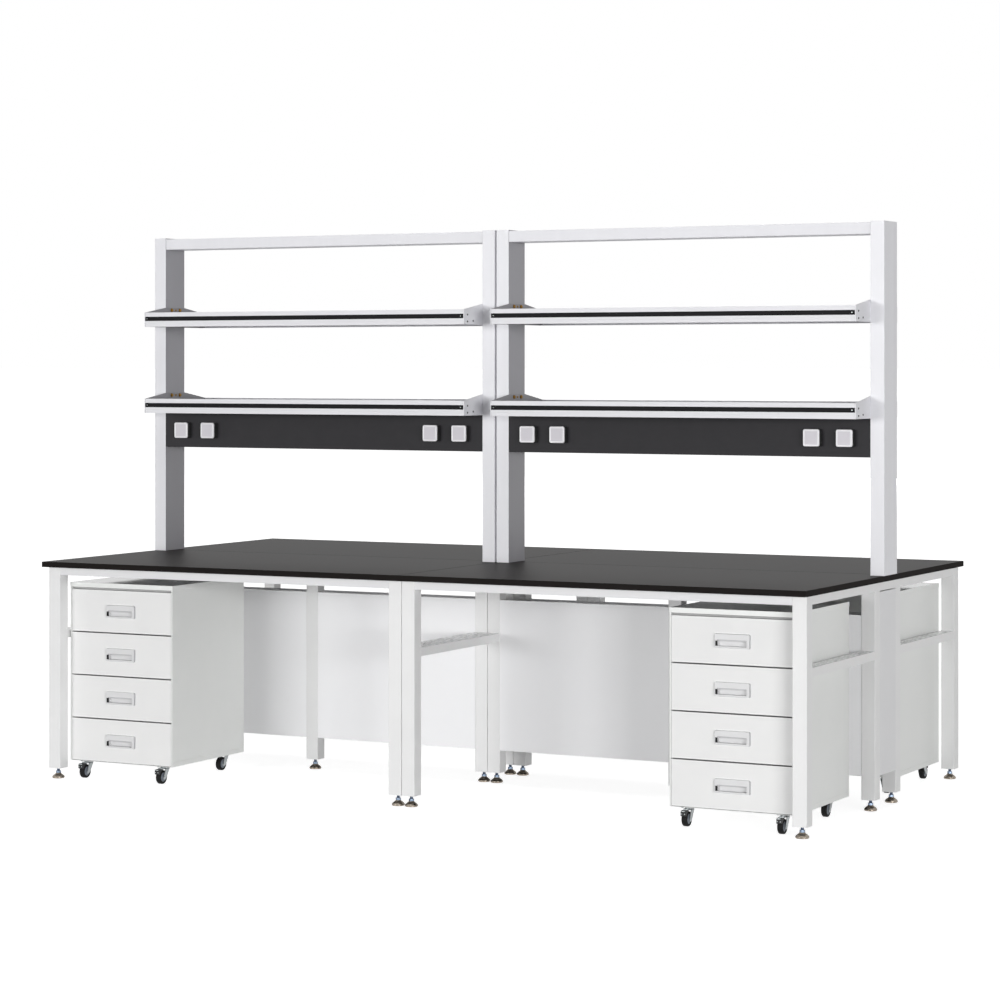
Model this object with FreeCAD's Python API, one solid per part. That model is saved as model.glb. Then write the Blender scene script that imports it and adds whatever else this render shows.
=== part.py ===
import FreeCAD, Part
import math
import os

# Double-sided laboratory island bench: four steel bench units under black
# worktops, a two-level reagent rack along the middle, a socket channel under
# the lower shelf and three rolling four-drawer pedestals.
# Millimetres. X is the length, Y the depth (front is -Y), Z is up; the origin
# is on the floor under the middle of the bench.

V = FreeCAD.Vector

# ---------------------------------------------------------------- sizes
# bench
bench_length = 3000.0
bench_depth = 1600.0
worktop_height = 800.0
worktop_thickness = 20.0
worktop_seam = 0.5
worktop_edge = 1.5

# steel under-frame
leg_size = 50.0
leg_wall = 2.0
leg_corner = 2.5
leg_end_inset = 10.0
leg_front_overhang = 30.0
service_gap = 160.0
unit_gap = 2.0
leg_bottom = 38.0
bar_height = 30.0
bar_wall = 2.0
mid_bar_bottom = 517.0
apron_depth = 25.0
apron_setback = 2.0

# sheet panels
sheet = 1.2
panel_thickness = 14.0
back_panel_bottom = 120.0
front_row_panel_top = 668.0
rear_row_panel_top = 655.0
back_panel_setback = 2.0
end_panel_bottom = 118.0
end_panel_gap = 3.0

# levelling feet
foot_radius = 23.0
foot_rim = 5.0
foot_cone_top = 17.0
foot_neck = 9.0
stud_radius = 6.0
nut_across = 19.0
nut_height = 10.0

# reagent rack
upright_width = 50.0
upright_depth = 130.0
upright_wall = 2.0
rack_top = 2018.0
upright_pair_gap = 8.0
header_height = 40.0
header_drop = 4.0
header_setback = 3.0
header_wall = 2.0

# shelves
shelf_depth = 420.0
shelf_bottoms = (1339.0, 1671.0)
shelf_rail_height = 55.0
shelf_rail_depth = 18.0
shelf_rail_wall = 2.0
shelf_rail_band = 13.0
shelf_rail_relief = 1.0
insert_height = 12.0
insert_depth = 3.0
insert_drop = 24.5
bracket_thickness = 3.0
bracket_rise = 22.0
bolt_spacing = 56.0
bolt_drop = 10.0
bolt_across = 11.0
bolt_head = 4.0
deck_drop = 5.0
deck_skirt = 25.0

# socket channel and sockets
channel_height = 132.0
channel_gap = 2.0
channel_wall = 2.0
socket_size = 62.0
socket_corner = 5.0
socket_depth = 12.0
socket_recess = 3.0
socket_rim = 6.0
socket_offsets = (-611.0, -490.0, 490.0, 611.0)
socket_below_channel_top = 66.0
lid_depth = 14.0
lid_wall = 2.0
lid_hinge_radius = 4.0
lid_gap = 0.3

# Small repeated rounds are drawn with flats inside the true radius; each
# turning pair keeps a true round bore.
pad_sides = 14
wheel_sides = 28
pin_sides = 12
corner_steps = 2

# pedestals
pedestal_width = 450.0
pedestal_depth = 480.0
pedestal_bottom = 64.0
pedestal_headroom = 28.0
pedestal_wall = 1.5
pedestal_leg_gap = 6.0
pedestal_front_inset = 88.0
pedestal_return = 5.0
cap_skirt = 17.0
cap_gap = 9.0
cap_proud = 1.0
base_lap = 17.0
seam_height = 1.0
seam_depth = 0.5
drawer_count = 4
drawer_gap = 5.0
drawer_side_gap = 1.5
front_thickness = 18.0
drawer_wall = 1.2
drawer_box_height = 110.0
drawer_box_depth = 430.0
drawer_box_lift = 14.0
runner_wall = 1.2
runner_bar_width = 12.0
runner_bar_height = 12.0
runner_clearance = 0.4
runner_length = 440.0
runner_lift = 60.0

# recessed drawer pulls
pull_width = 126.0
pull_height = 48.0
pull_corner = 6.0
pull_flange = 1.5
pull_wall = 1.5
pull_cup_width = 108.0
pull_cup_height = 38.0
pull_cup_depth = 14.0
pull_mouth_height = 19.0
pull_fit = 0.5

# swivel casters
wheel_radius = 25.0
wheel_width = 20.0
axle_radius = 4.0
axle_clearance = 0.1
fork_wall = 2.5
fork_side_gap = 1.5
fork_top = 56.2
fork_half_depth = 13.0
fork_toe = 9.0
caster_trail = 21.0
caster_plate = 46.0
caster_plate_thickness = 2.5
swivel_gap = 0.3
swivel_pin_radius = 5.0
swivel_cup_radius = 14.0
caster_side_inset = 56.0
caster_front_inset = 34.0
caster_rear_inset = 50.0
brake_width = 18.0
brake_reach = 46.0

# ------------------------------------------------------- derived places
worktop_bottom = worktop_height - worktop_thickness
frame_end_x = bench_length / 2 - leg_end_inset
frame_inner_x = unit_gap / 2
frame_front_y = bench_depth / 2 - leg_front_overhang
frame_back_y = service_gap / 2
middle_leg_x = (frame_inner_x + frame_end_x - leg_size) / 2
rail_bottom = worktop_bottom - bar_height
module_outer_x = bench_length / 2 - upright_width
module_inner_x = upright_pair_gap / 2 + upright_width
module_centre_x = (module_outer_x + module_inner_x) / 2
half_shelf = shelf_depth / 2
half_upright = upright_depth / 2
channel_top = shelf_bottoms[0] - channel_gap
channel_bottom = channel_top - channel_height
socket_z = channel_top - socket_below_channel_top
pedestal_top = rail_bottom - pedestal_headroom
front_zone_top = pedestal_top - cap_skirt - cap_gap
front_zone_bottom = pedestal_bottom + pedestal_wall + drawer_side_gap
front_height = (front_zone_top - front_zone_bottom
                - (drawer_count - 1) * drawer_gap) / drawer_count
drawer_pitch = front_height + drawer_gap
front_width = pedestal_width - 2 * (pedestal_return + drawer_side_gap)
drawer_box_width = front_width - 2 * runner_bar_width


# ------------------------------------------------------------- helpers
def block(x0, x1, y0, y1, z0, z1):
    """Box between two corners, given in any order."""
    low = V(min(x0, x1), min(y0, y1), min(z0, z1))
    return Part.makeBox(abs(x1 - x0), abs(y1 - y0), abs(z1 - z0), low)


def prism(points, travel):
    """Closed flat outline pushed along a vector."""
    wire = Part.makePolygon(list(points) + [points[0]])
    return Part.Face(wire).extrude(travel)


def flats(radius, sides, z):
    """Corners of a regular outline round the Z axis."""
    angles = [2 * math.pi * i / sides for i in range(sides)]
    return [V(radius * math.cos(a), radius * math.sin(a), z) for a in angles]


def rod(radius, sides, length):
    """Bar with flats, on the origin along Z."""
    return prism(flats(radius, sides, 0), V(0, 0, length))


def along_x(shape):
    """Turn a piece made along Z so that it runs along X."""
    turned = shape.copy()
    turned.rotate(V(0, 0, 0), V(0, 1, 0), 90)
    return turned


def flared(radius_low, radius_high, sides, z0, z1):
    """Tapered collar between two regular outlines."""
    low = flats(radius_low, sides, z0)
    high = flats(radius_high, sides, z1)
    wires = [Part.makePolygon(points + [points[0]]) for points in (low, high)]
    return Part.makeLoft(wires, True, True)


def rounded_outline(half_x, z0, z1, corner, y):
    """Upright outline centred on X = 0 with rounded corners."""
    centres = [(half_x - corner, z0 + corner, -90), (half_x - corner, z1 - corner, 0),
               (corner - half_x, z1 - corner, 90), (corner - half_x, z0 + corner, 180)]
    points = []
    for cx, cz, start in centres:
        for i in range(corner_steps + 1):
            a = math.radians(start + 90.0 * i / corner_steps)
            points.append(V(cx + corner * math.cos(a), y, cz + corner * math.sin(a)))
    return points


def moved(shape, x, y, z):
    copy = shape.copy()
    copy.translate(V(x, y, z))
    return copy


def mirrored(shape, normal):
    return shape.mirror(V(0, 0, 0), normal)


def flip_x(shape):
    return mirrored(shape, V(1, 0, 0))


def flip_y(shape):
    return mirrored(shape, V(0, 1, 0))


def four_ways(shape):
    """A piece and its images on the other three quarters of the bench."""
    return [shape, flip_x(shape), flip_y(shape), flip_x(flip_y(shape))]


def vertical_edges(shape):
    return [e for e in shape.Edges if abs(e.tangentAt(e.FirstParameter).z) > 0.999]


def save(name, solids):
    """One STEP file per sub-part; several solids go in as a group."""
    shape = solids[0] if len(solids) == 1 else Part.makeCompound(solids)
    shape.exportStep("parts/" + name + ".step")


# ----------------------------------------------------------- worktops
def worktop():
    """One slab of the front right quarter, with eased upper edges."""
    slab = block(worktop_seam / 2, bench_length / 2,
                 -bench_depth / 2, -worktop_seam / 2,
                 worktop_bottom, worktop_height)
    rim = [e for e in slab.Edges
           if all(abs(v.Z - worktop_height) < 0.01 for v in e.Vertexes)]
    return slab.makeChamfer(worktop_edge, rim)


# -------------------------------------------------------- under-frame
def leg(x, y, top):
    """Square tube with its low corner at x, y."""
    tube = block(x, x + leg_size, y, y + leg_size, leg_bottom, top)
    tube = tube.makeChamfer(leg_corner / 2, vertical_edges(tube))
    bore = block(x + leg_wall, x + leg_size - leg_wall,
                 y + leg_wall, y + leg_size - leg_wall,
                 leg_bottom + leg_wall, top)
    return tube.cut(bore)


def leg_corners():
    """Low corners of the four legs of the front right bench unit."""
    columns = (frame_inner_x, frame_end_x - leg_size)
    rows = (-frame_front_y, -frame_back_y - leg_size)
    return [(x, y) for x in columns for y in rows]


def middle_leg():
    """Shorter rear leg half-way along a front unit, under its rear long rail."""
    return leg(middle_leg_x, -frame_back_y - leg_size, rail_bottom)


def crossbar(x, z, y0, y1):
    """Channel open below, across the depth of one frame."""
    section = [V(x, y0, z), V(x + bar_wall, y0, z),
               V(x + bar_wall, y0, z + bar_height - bar_wall),
               V(x + leg_size - bar_wall, y0, z + bar_height - bar_wall),
               V(x + leg_size - bar_wall, y0, z), V(x + leg_size, y0, z),
               V(x + leg_size, y0, z + bar_height), V(x, y0, z + bar_height)]
    return prism(section, V(0, y1 - y0, 0))


def apron(y0):
    """Rectangular tube along the bench unit, under the worktop."""
    x0 = frame_inner_x + leg_size
    x1 = frame_end_x - leg_size
    z0 = rail_bottom
    outer = block(x0, x1, y0, y0 + apron_depth, z0, worktop_bottom)
    inner = block(x0, x1, y0 + bar_wall, y0 + apron_depth - bar_wall,
                  z0 + bar_wall, worktop_bottom - bar_wall)
    return outer.cut(inner)


def back_panel(x0, x1, top):
    """Folded sheet tray between two rear legs, its open side to the services."""
    y0 = -frame_back_y - leg_size + back_panel_setback
    y1 = y0 + panel_thickness
    tray = block(x0, x1, y0, y1, back_panel_bottom, top)
    hollow = block(x0 + sheet, x1 - sheet, y0 + sheet, y1,
                   back_panel_bottom + sheet, top - sheet)
    return tray.cut(hollow)


def end_panel():
    """Folded sheet tray that closes one half of the service gap."""
    x1 = frame_end_x
    x0 = x1 - panel_thickness
    y0 = -frame_back_y
    y1 = -worktop_seam / 2
    top = rail_bottom - end_panel_gap
    tray = block(x0, x1, y0, y1, end_panel_bottom, top)
    hollow = block(x0, x1 - sheet, y0 + sheet, y1 - sheet,
                   end_panel_bottom + sheet, top - sheet)
    return tray.cut(hollow)


def levelling_foot():
    """Bell pad on its stud, and the lock nut under the leg."""
    nut_bottom = leg_bottom - nut_height
    rim = rod(foot_radius, pad_sides, foot_rim)
    bell = flared(foot_radius, foot_neck, pad_sides, foot_rim, foot_cone_top)
    stud = moved(rod(stud_radius, pin_sides, nut_bottom - foot_cone_top),
                 0, 0, foot_cone_top)
    nut = moved(rod(nut_across / math.sqrt(3), 6, nut_height), 0, 0, nut_bottom)
    return [rim.fuse([bell, stud]).removeSplitter(), nut]


# --------------------------------------------------------------- rack
def upright(x0):
    """Rectangular post on the worktop, closed by a welded cap at the top."""
    tube = block(x0, x0 + upright_width, -half_upright, half_upright,
                 worktop_height, rack_top)
    bore = block(x0 + upright_wall, x0 + upright_width - upright_wall,
                 upright_wall - half_upright, half_upright - upright_wall,
                 worktop_height, rack_top - upright_wall)
    return tube.cut(bore)


def header_rail():
    """Rectangular tube that joins the two uprights of a module at the top."""
    depth = half_upright - header_setback
    z1 = rack_top - header_drop
    z0 = z1 - header_height
    outer = block(module_inner_x, module_outer_x, -depth, depth, z0, z1)
    inner = block(module_inner_x, module_outer_x,
                  header_wall - depth, depth - header_wall,
                  z0 + header_wall, z1 - header_wall)
    return outer.cut(inner)


def bracket_plate(x0, z0):
    """Side plate of a shelf, highest against the upright."""
    rail_top = z0 + shelf_rail_height
    peak = rail_top + bracket_rise
    outline = [V(x0, -half_shelf, z0), V(x0, half_shelf, z0),
               V(x0, half_shelf, rail_top), V(x0, half_upright, peak),
               V(x0, -half_upright, peak), V(x0, -half_shelf, rail_top)]
    return prism(outline, V(bracket_thickness, 0, 0))


def bracket_bolt(x, y, z, side):
    """Hexagon head on the inner face of a bracket plate."""
    head = along_x(rod(bolt_across / math.sqrt(3), 6, bolt_head))
    if side > 0:
        return moved(head, x - bracket_thickness - bolt_head, y, z)
    return moved(head, x + bracket_thickness, y, z)


def edge_rail(z0):
    """Front extrusion of a shelf: C section with a groove for the insert."""
    x0 = module_inner_x + bracket_thickness
    x1 = module_outer_x - bracket_thickness
    wall = shelf_rail_wall
    depth = shelf_rail_depth
    relief = shelf_rail_relief
    top = shelf_rail_height
    low = insert_drop
    high = insert_drop + insert_height
    groove = insert_depth
    section = [(relief, 0), (depth, 0), (depth, wall), (relief + wall, wall),
               (relief + wall, low - wall), (groove + wall, low - wall),
               (groove + wall, high + wall), (relief + wall, high + wall),
               (relief + wall, top - wall), (depth, top - wall), (depth, top),
               (relief, top), (relief, top - shelf_rail_band),
               (0, top - shelf_rail_band), (0, high), (groove, high),
               (groove, low), (0, low), (0, shelf_rail_band),
               (relief, shelf_rail_band)]
    points = [V(x0, y - half_shelf, z0 + z) for y, z in section]
    return prism(points, V(x1 - x0, 0, 0))


def rail_insert(z0):
    """Black strip that lies in the groove of the edge rail."""
    x0 = module_inner_x + bracket_thickness
    x1 = module_outer_x - bracket_thickness
    return block(x0, x1, -half_shelf, insert_depth - half_shelf,
                 z0 + insert_drop, z0 + insert_drop + insert_height)


def shelf_deck(z0):
    """Folded sheet deck between the two edge rails, open below."""
    x0 = module_inner_x + bracket_thickness
    x1 = module_outer_x - bracket_thickness
    half = half_shelf - shelf_rail_depth
    top = z0 + shelf_rail_height - deck_drop
    tray = block(x0, x1, -half, half, top - deck_skirt, top)
    hollow = block(x0 + sheet, x1 - sheet, sheet - half, half - sheet,
                   top - deck_skirt, top - sheet)
    return tray.cut(hollow)


def power_channel():
    """Rectangular duct between the uprights, under the lower shelf."""
    outer = block(module_inner_x, module_outer_x, -half_upright, half_upright,
                  channel_bottom, channel_top)
    inner = block(module_inner_x, module_outer_x,
                  channel_wall - half_upright, half_upright - channel_wall,
                  channel_bottom + channel_wall, channel_top - channel_wall)
    return outer.cut(inner)


# ------------------------------------------------------------ sockets
def socket_base():
    """Housing of a flip-cover socket, with a recessed outlet face."""
    half = socket_size / 2
    front = -half_upright - socket_depth
    top = socket_z + half
    outline = rounded_outline(half, socket_z - half, top, socket_corner, front)
    body = prism(outline, V(0, socket_depth, 0))
    r = lid_hinge_radius
    hinge_bevel = prism([V(-half, front, top), V(-half, front, top - r),
                         V(-half, front + r, top)], V(socket_size, 0, 0))
    body = body.cut(hinge_bevel)
    well = half - socket_rim
    recess = block(-well, well, front, front + socket_recess,
                   socket_z - well, socket_z + well)
    return body.cut(recess)


def socket_lid():
    """Spring cover of a socket; its upper edge is round about the hinge."""
    half = socket_size / 2
    back = -half_upright - socket_depth - lid_gap
    front = back - lid_depth
    top = socket_z + half
    bottom = socket_z - half
    r = lid_hinge_radius
    cut = socket_corner
    knee = V(0, back - r * (1 - math.cos(math.pi / 4)),
             top - r + r * math.sin(math.pi / 4))
    edges = [Part.LineSegment(V(0, back, bottom), V(0, back, top - r)).toShape(),
             Part.Arc(V(0, back, top - r), knee, V(0, back - r, top)).toShape(),
             Part.LineSegment(V(0, back - r, top), V(0, front + cut, top)).toShape(),
             Part.LineSegment(V(0, front + cut, top), V(0, front, top - cut)).toShape(),
             Part.LineSegment(V(0, front, top - cut), V(0, front, bottom + cut)).toShape(),
             Part.LineSegment(V(0, front, bottom + cut),
                              V(0, front + cut, bottom)).toShape(),
             Part.LineSegment(V(0, front + cut, bottom), V(0, back, bottom)).toShape()]
    body = Part.Face(Part.Wire(edges)).extrude(V(socket_size, 0, 0))
    body.translate(V(-half, 0, 0))
    hollow = block(lid_wall - half, half - lid_wall, front + lid_wall, back,
                   bottom + lid_wall, top - 2 * r - lid_wall)
    return body.cut(hollow)


def socket_row(piece, side):
    """The four copies of a socket piece on one module (side -1 or +1)."""
    return [moved(piece, side * module_centre_x + dx, 0, 0) for dx in socket_offsets]


# ---------------------------------------------------------- pedestals
# A pedestal is drawn at its own place: centred on X = 0, drawer fronts on
# the plane Y = 0 and facing -Y.
def pedestal_shell():
    """Folded steel carcass: sides, rear, floor and roof, open at the front."""
    half = pedestal_width / 2
    wall = pedestal_wall
    outer = block(-half, half, 0, pedestal_depth, pedestal_bottom, pedestal_top - cap_skirt)
    inner = block(wall - half, half - wall, front_thickness, pedestal_depth - wall,
                  pedestal_bottom + wall, pedestal_top - cap_skirt - wall)
    mouth = block(pedestal_return - half, half - pedestal_return, 0, front_thickness,
                  pedestal_bottom + wall, pedestal_top - cap_skirt)
    cheek = block(wall - half, pedestal_return - half - wall, wall, front_thickness,
                  pedestal_bottom + wall, pedestal_top - cap_skirt - wall)
    return outer.cut(inner).cut(mouth).cut(cheek).cut(flip_x(cheek)).cut(base_seam())


def base_seam():
    """Fine joint line where the sides and rear lap over the floor tray."""
    half = pedestal_width / 2
    z0 = pedestal_bottom + base_lap
    around = block(-half, half, 0, pedestal_depth, z0, z0 + seam_height)
    return around.cut(block(seam_depth - half, half - seam_depth,
                            0, pedestal_depth - seam_depth, z0, z0 + seam_height))


def pedestal_cap():
    """Top cover with a folded skirt, a little proud of the carcass."""
    half = pedestal_width / 2 + cap_proud
    skirt_bottom = pedestal_top - cap_skirt
    cap = block(-half, half, -cap_proud, pedestal_depth + cap_proud,
                skirt_bottom, pedestal_top)
    hollow = block(pedestal_wall - half, half - pedestal_wall,
                   pedestal_wall - cap_proud, pedestal_depth + cap_proud - pedestal_wall,
                   skirt_bottom, pedestal_top - pedestal_wall)
    return cap.cut(hollow)


def drawer_bottom(level):
    return front_zone_bottom + level * drawer_pitch


def runner_z(level):
    return drawer_bottom(level) + runner_lift


def carcass_runner(level):
    """Channel on the left wall that guides the bar of one drawer."""
    x0 = pedestal_wall - pedestal_width / 2
    x1 = -drawer_box_width / 2 - runner_clearance
    z0 = runner_z(level) - runner_clearance - runner_wall
    z1 = runner_z(level) + runner_bar_height + runner_clearance + runner_wall
    y0 = front_thickness + runner_clearance
    outer = block(x0, x1, y0, y0 + runner_length, z0, z1)
    slot = block(-front_width / 2 - runner_clearance, x1, y0, y0 + runner_length,
                 z0 + runner_wall, z1 - runner_wall)
    return outer.cut(slot)


def drawer_bar(level):
    """Bar on the left side of a drawer box, inside the carcass channel."""
    x0 = -front_width / 2
    return block(x0, x0 + runner_bar_width,
                 front_thickness, front_thickness + drawer_box_depth,
                 runner_z(level), runner_z(level) + runner_bar_height)


def pull_z(level):
    return drawer_bottom(level) + front_height / 2


def drawer_front(level):
    """Hollow sheet front with a window for the recessed pull."""
    half = front_width / 2
    z0 = drawer_bottom(level)
    wall = drawer_wall
    pan = block(-half, half, 0, front_thickness, z0, z0 + front_height)
    hollow = block(wall - half, half - wall, wall, front_thickness,
                   z0 + wall, z0 + front_height - wall)
    half_cup = pull_cup_width / 2 + pull_fit
    high = pull_cup_height / 2 + pull_fit
    window = block(-half_cup, half_cup, 0, wall, pull_z(level) - high, pull_z(level) + high)
    return pan.cut(hollow).cut(window)


def drawer_box(level):
    """Open tray behind the front."""
    half = drawer_box_width / 2
    wall = drawer_wall
    z0 = drawer_bottom(level) + drawer_box_lift
    y0 = front_thickness
    y1 = front_thickness + drawer_box_depth
    outer = block(-half, half, y0, y1, z0, z0 + drawer_box_height)
    inner = block(wall - half, half - wall, y0 + wall, y1 - wall,
                  z0 + wall, z0 + drawer_box_height)
    return outer.cut(inner)


def drawer_pull(level):
    """Recessed pull: flange, cup, and a lip over the upper half of the cup."""
    z = pull_z(level)
    half = pull_width / 2
    high = pull_height / 2
    flange = prism(rounded_outline(half, z - high, z + high, pull_corner, -pull_flange),
                   V(0, pull_flange, 0))
    half_cup = pull_cup_width / 2
    cup_high = pull_cup_height / 2
    cup = block(-half_cup, half_cup, 0, pull_cup_depth, z - cup_high, z + cup_high)
    cavity = block(pull_wall - half_cup, half_cup - pull_wall,
                   0, pull_cup_depth - pull_wall,
                   z - cup_high + pull_wall, z + cup_high - pull_wall)
    mouth = block(pull_wall - half_cup, half_cup - pull_wall, -pull_flange, 0,
                  z - cup_high + pull_wall, z - cup_high + pull_wall + pull_mouth_height)
    return flange.fuse(cup).removeSplitter().cut(cavity).cut(mouth)


def drawer(level):
    bar = drawer_bar(level)
    return [drawer_front(level), drawer_box(level), drawer_pull(level), bar, flip_x(bar)]


# A caster is drawn with its swivel axis on Z, its wheel trailing towards -Y.
def caster_mount():
    """Top plate and bearing cup under the carcass floor."""
    half = caster_plate / 2
    plate_bottom = pedestal_bottom - caster_plate_thickness
    plate = block(-half, half, -half, half, plate_bottom, pedestal_bottom)
    cup_bottom = fork_top + swivel_gap
    cup = moved(rod(swivel_cup_radius, pad_sides, plate_bottom - cup_bottom),
                0, 0, cup_bottom)
    bore = Part.makeCylinder(swivel_pin_radius + axle_clearance,
                             pedestal_bottom - cup_bottom, V(0, 0, cup_bottom))
    return plate.fuse(cup).cut(bore)


def caster_fork(brake):
    """Swivel pin, crown and two cheeks pressed from one plate, with the axle."""
    half = wheel_width / 2 + fork_side_gap + fork_wall
    gap = half - fork_wall
    y = fork_half_depth
    end = caster_trail
    toe = fork_toe
    outline = [V(-half, y, fork_top), V(-half, -y, fork_top),
               V(-half, -end - toe, wheel_radius + toe / 2),
               V(-half, -end - toe, wheel_radius - toe / 2),
               V(-half, -end - toe / 2, wheel_radius - toe),
               V(-half, -end + toe / 2, wheel_radius - toe),
               V(-half, -end + toe, wheel_radius - toe / 2),
               V(-half, y, fork_top - 2 * fork_wall)]
    body = prism(outline, V(2 * half, 0, 0))
    crown_bottom = fork_top - fork_wall
    body = body.cut(block(-gap, gap, -end - 2 * toe, 2 * y, 0, crown_bottom))
    pin_top = pedestal_bottom - swivel_gap
    pin = moved(rod(swivel_pin_radius, pin_sides, pin_top - crown_bottom),
                0, 0, crown_bottom)
    axle = moved(along_x(rod(axle_radius, pin_sides, 2 * half)), -half, -end, wheel_radius)
    solids = [body.fuse([pin, axle]).removeSplitter()]
    if brake:
        solids.append(brake_lever())
    return solids


def brake_lever():
    """Foot lever on the rear edge of the crown, over the wheel."""
    x = -brake_width / 2
    slope = (caster_trail + fork_toe - fork_half_depth) / (
        fork_top - wheel_radius - fork_toe / 2)
    seat = -fork_half_depth - slope * fork_wall
    outline = [V(x, -fork_half_depth, fork_top), V(x, -brake_reach, fork_top + fork_wall),
               V(x, -brake_reach, fork_top), V(x, seat, fork_top - fork_wall)]
    return prism(outline, V(brake_width, 0, 0))


def caster_wheel():
    """Plain-bore wheel on the fork's axle."""
    disc = rod(wheel_radius, wheel_sides, wheel_width)
    bore = Part.makeCylinder(axle_radius + axle_clearance, wheel_width)
    wheel = along_x(disc.cut(bore))
    return moved(wheel, -wheel_width / 2, -caster_trail, wheel_radius)


def caster_places():
    """Swivel axes under a pedestal: front pair, then rear pair."""
    x = pedestal_width / 2 - caster_side_inset
    front = caster_front_inset
    rear = pedestal_depth - caster_rear_inset
    return {"front_left": (-x, front), "front_right": (x, front),
            "rear_left": (-x, rear), "rear_right": (x, rear)}


def place_pedestal(shape, centre_x, facing):
    """Move a pedestal piece to its bay; facing -1 is the front row."""
    front_y = bench_depth / 2 - pedestal_front_inset
    placed = moved(shape, 0, -front_y, 0)
    if facing > 0:
        placed.rotate(V(0, 0, 0), V(0, 0, 1), 180)
    placed.translate(V(centre_x, 0, 0))
    return placed


pedestal_x = frame_end_x - leg_size - pedestal_leg_gap - pedestal_width / 2
pedestals = {"front_left_pedestal": (-pedestal_x, -1),
             "front_right_pedestal": (pedestal_x, -1),
             "rear_right_pedestal": (pedestal_x, 1)}


# -------------------------------------------------------------- output
def build_under_frame():
    top = worktop()
    save("front_row_worktops", [top, flip_x(top)])
    save("rear_row_worktops", [flip_y(top), flip_x(flip_y(top))])
    legs = [leg(x, y, worktop_bottom) for x, y in leg_corners()]
    middle = middle_leg()
    save("legs", [piece for one in legs for piece in four_ways(one)]
         + [middle, flip_x(middle)])
    outer_x = frame_end_x - leg_size
    bars = [crossbar(x, z, leg_size - frame_front_y, -frame_back_y - leg_size)
            for x in (frame_inner_x, outer_x) for z in (mid_bar_bottom, rail_bottom)]
    bars.append(crossbar(outer_x, rail_bottom, -frame_back_y, -worktop_seam / 2))
    save("frame_crossbars", [piece for bar in bars for piece in four_ways(bar)])
    front = apron(-frame_front_y + apron_setback)
    rear = apron(-frame_back_y - apron_setback - apron_depth)
    save("long_rails", four_ways(front) + four_ways(rear))
    inner_x = frame_inner_x + leg_size
    short_pair = [back_panel(inner_x, middle_leg_x, front_row_panel_top),
                  back_panel(middle_leg_x + leg_size, outer_x, front_row_panel_top)]
    wide = flip_y(back_panel(inner_x, outer_x, rear_row_panel_top))
    panels = short_pair + [wide]
    save("back_panels", panels + [flip_x(panel) for panel in panels])
    save("service_end_panels", four_ways(end_panel()))
    feet = []
    for x, y in leg_corners():
        for piece in levelling_foot():
            at_leg = moved(piece, x + leg_size / 2, y + leg_size / 2, 0)
            feet.extend(four_ways(at_leg))
    for piece in levelling_foot():
        at_leg = moved(piece, middle_leg_x + leg_size / 2, -frame_back_y - leg_size / 2, 0)
        feet += [at_leg, flip_x(at_leg)]
    save("levelling_feet", feet)


def build_rack():
    posts = [upright(upright_pair_gap / 2), upright(module_outer_x)]
    save("rack_uprights", posts + [flip_x(post) for post in posts])
    header = header_rail()
    save("rack_header_rails", [header, flip_x(header)])
    plates, bolts, rails, inserts, decks = [], [], [], [], []
    for z0 in shelf_bottoms:
        pair = [bracket_plate(module_inner_x, z0),
                bracket_plate(module_outer_x - bracket_thickness, z0)]
        plates += pair + [flip_x(plate) for plate in pair]
        bolt_z = z0 + shelf_rail_height + bracket_rise - bolt_drop
        for y in (-bolt_spacing / 2, bolt_spacing / 2):
            two = [bracket_bolt(module_inner_x, y, bolt_z, -1),
                   bracket_bolt(module_outer_x, y, bolt_z, 1)]
            bolts += two + [flip_x(bolt) for bolt in two]
        rails += four_ways(edge_rail(z0))
        inserts += four_ways(rail_insert(z0))
        deck = shelf_deck(z0)
        decks += [deck, flip_x(deck)]
    save("shelf_brackets", plates)
    save("bracket_bolts", bolts)
    save("shelf_edge_rails", rails)
    save("edge_rail_inserts", inserts)
    save("shelf_decks", decks)


def build_sockets():
    channel = power_channel()
    save("power_channels", [channel, flip_x(channel)])
    base = socket_base()
    lid = socket_lid()
    bases = []
    for side, name in ((-1, "left"), (1, "right")):
        front_bases = socket_row(base, side)
        bases += front_bases + [flip_y(piece) for piece in front_bases]
        front_lids = socket_row(lid, side)
        save("front_" + name + "_socket_covers", front_lids)
        save("rear_" + name + "_socket_covers", [flip_y(piece) for piece in front_lids])
    save("socket_bases", bases)


def build_pedestal(name, centre_x, facing):
    def place(shape):
        return place_pedestal(shape, centre_x, facing)

    carcass = [pedestal_shell(), pedestal_cap()]
    for level in range(drawer_count):
        runner = carcass_runner(level)
        carcass += [runner, flip_x(runner)]
    mount = caster_mount()
    for x, y in caster_places().values():
        carcass.append(moved(mount, x, y, 0))
    save(name + "_carcass", [place(piece) for piece in carcass])
    for level in range(drawer_count):
        pieces = [place(piece) for piece in drawer(level)]
        save("%s_drawer_%d" % (name, drawer_count - level), pieces)
    for corner, (x, y) in caster_places().items():
        fork = caster_fork(corner.startswith("front"))
        save("%s_%s_fork" % (name, corner), [place(moved(s, x, y, 0)) for s in fork])
        wheel = place(moved(caster_wheel(), x, y, 0))
        save("%s_%s_wheel" % (name, corner), [wheel])


os.makedirs("parts", exist_ok=True)
build_under_frame()
build_rack()
build_sockets()
for pedestal_name, (pedestal_place, pedestal_facing) in pedestals.items():
    build_pedestal(pedestal_name, pedestal_place, pedestal_facing)
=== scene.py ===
import math

import bmesh
import bpy
from mathutils import Matrix, Vector


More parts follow.
